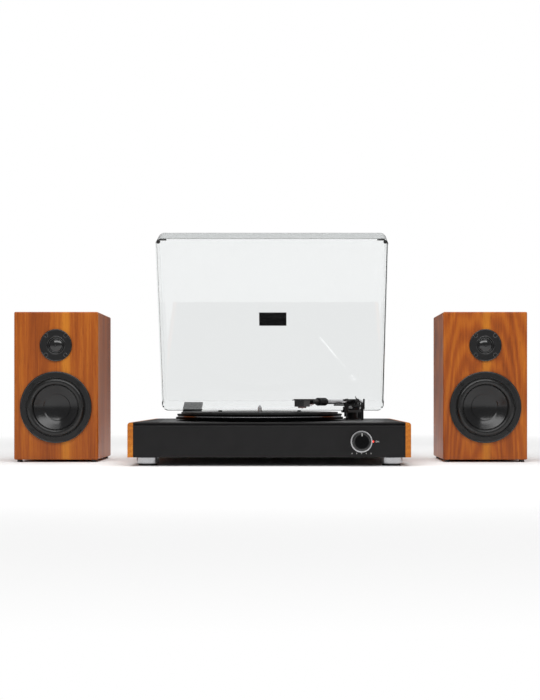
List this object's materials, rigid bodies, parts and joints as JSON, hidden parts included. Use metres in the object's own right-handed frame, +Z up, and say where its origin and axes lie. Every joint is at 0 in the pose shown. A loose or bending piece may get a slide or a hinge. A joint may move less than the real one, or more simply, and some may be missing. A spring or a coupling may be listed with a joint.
{
  "type": "record player with speakers",
  "caption": "Belt-driven record player with wooden end cheeks, an open clear cover and a straight tonearm, between two matching wooden bookshelf speakers.",
  "frame": {"origin": "on the floor, under the middle of the overall box", "axes": "+X to the right seen from the front, +Y to the rear, +Z up"},
  "size_m": [0.885, 0.3986, 0.4171],
  "materials": {
    "wood_cheek": "clear-lacquered orange-brown veneer",
    "wood_cabinet": "clear-lacquered red-brown veneer",
    "case_black": "satin charcoal paint",
    "board": "raw fibreboard, hidden",
    "sheet_black": "matt black",
    "bright_metal": "polished",
    "turned_metal": "turned",
    "platter_black": "black anodised casting",
    "rubber": "matt black",
    "plastic_black": "satin black moulding",
    "gloss_black": "gloss black moulding",
    "stylus_red": "pale red moulding",
    "lead_copper": "insulated fine wire",
    "clear_cover": "clear moulded acrylic",
    "lamp_red": "clear red lens",
    "cone_black": "satin black cone",
    "circuit": "green board",
    "iron": "dark ferrite",
    "screw_black": "blackened steel"
  },
  "bodies": {
    "case": {"side_cheeks": "wood_cheek", "plinth_frame": "board", "front_panel": "case_black", "top_plate": "case_black", "bottom_cover": "sheet_black", "rear_panel": "sheet_black", "foot_shells": "bright_metal", "foot_pads": "rubber", "cover_screws": "screw_black", "bearing_housing": "turned_metal", "drive_belt": "rubber", "motor": "turned_metal", "arm_base": "plastic_black", "arm_rest": "plastic_black", "hinge_pins": "turned_metal", "hinge_bases": "plastic_black", "knob_ring": "turned_metal", "volume_control": "turned_metal", "power_lamp": "lamp_red", "amplifier_board": "circuit", "phono_sockets": "bright_metal", "banana_sockets": "turned_metal", "power_inlet": "plastic_black", "speed_switch": "plastic_black", "left_cabinet": "wood_cabinet", "right_cabinet": "wood_cabinet", "woofer_baskets": "sheet_black", "woofer_surrounds": "rubber", "woofer_magnets": "iron", "tweeter_plates": "sheet_black", "tweeter_domes": "cone_black", "driver_screws": "screw_black", "speaker_feet": "rubber", "terminal_cups": "plastic_black", "crossovers": "circuit"},
    "platter": {"platter": "platter_black", "platter_mat": "rubber", "platter_plugs": "rubber", "spindle": "bright_metal"},
    "pulley": {"motor_pulley": "turned_metal"},
    "arm_yoke": {"arm_yoke": "plastic_black"},
    "arm": {"gimbal_block": "plastic_black", "arm_tube": "bright_metal", "arm_collar": "plastic_black", "headshell": "plastic_black", "cartridge": "gloss_black", "stylus": "stylus_red", "cartridge_leads": "lead_copper"},
    "counterweight": {"counterweight": "turned_metal"},
    "cue_platform": {"cue_platform": "plastic_black"},
    "cue_lever": {"cue_lever": "plastic_black"},
    "arm_clip": {"arm_clip": "gloss_black"},
    "cover": {"dust_cover": "clear_cover", "lid_bumpers": "rubber", "lid_plate": "gloss_black", "hinge_leaves": "plastic_black"},
    "volume_knob": {"volume_knob": "gloss_black"},
    "speed_slider": {"speed_slider": "gloss_black"},
    "left_cone": {"left_woofer_cone": "cone_black"},
    "right_cone": {"right_woofer_cone": "cone_black"}
  },
  "joints": [
    {"name": "platter_spin", "type": "hinge", "parent": "case", "child": "platter", "pos_m": [-0.0205, -0.01002, 0.0735], "axis": [0, 0, 1], "continuous": true},
    {"name": "pulley_spin", "type": "hinge", "parent": "case", "child": "pulley", "pos_m": [-0.09475, 0.06422, 0.071], "axis": [0, 0, 1], "continuous": true},
    {"name": "arm_swing", "type": "hinge", "parent": "case", "child": "arm_yoke", "pos_m": [0.149, 0.10497, 0.0883], "axis": [0, 0, 1], "range_deg": [-16, 25.6]},
    {"name": "arm_lift", "type": "hinge", "parent": "arm_yoke", "child": "arm", "pos_m": [0.149, 0.10497, 0.104], "axis": [-0.9018, 0.4321, 0], "range_deg": [-1, 0]},
    {"name": "counterweight_turn", "type": "hinge", "parent": "arm", "child": "counterweight", "pos_m": [0.16067, 0.12932, 0.0985], "axis": [-0.4321, -0.9018, 0], "continuous": true},
    {"name": "cue_lever_turn", "type": "hinge", "parent": "case", "child": "cue_lever", "pos_m": [0.1695, 0.10497, 0.092], "axis": [1, 0, 0], "range_deg": [0, 50]},
    {"name": "cue_platform_slide", "type": "slide", "parent": "case", "child": "cue_platform", "axis": [0, 0, -1], "range_m": [0, 0.0015]},
    {"name": "arm_clip_turn", "type": "hinge", "parent": "case", "child": "arm_clip", "pos_m": [0.164, 0.02998, 0.1002], "axis": [0, 1, 0], "range_deg": [0, 100]},
    {"name": "cover_swing", "type": "hinge", "parent": "case", "child": "cover", "pos_m": [0, 0.16048, 0.0797], "axis": [-1, 0, 0], "range_deg": [-70, 0]},
    {"name": "volume_turn", "type": "hinge", "parent": "case", "child": "volume_knob", "pos_m": [0.1496, -0.19933, 0.0399], "axis": [0, 1, 0], "range_deg": [-145, 145]},
    {"name": "speed_slide", "type": "slide", "parent": "case", "child": "speed_slider", "axis": [1, 0, 0], "range_m": [0, 0.008]},
    {"name": "left_cone_throw", "type": "slide", "parent": "case", "child": "left_cone", "axis": [0, -1, 0], "range_m": [-0.003, 0.003], "stiffness_N_per_m": 900},
    {"name": "right_cone_throw", "type": "slide", "parent": "case", "child": "right_cone", "axis": [0, -1, 0], "range_m": [-0.003, 0.003], "stiffness_N_per_m": 900}
  ],
  "couplings": [
    {"joint": "pulley_spin", "follows": "platter_spin", "ratio": 10.667},
    {"joint": "cue_platform_slide", "follows": "cue_lever_turn", "m_per_rad": 0.0017189},
    {"joint": "arm_lift", "follows": "cue_lever_turn", "ratio": -0.02}
  ]
}
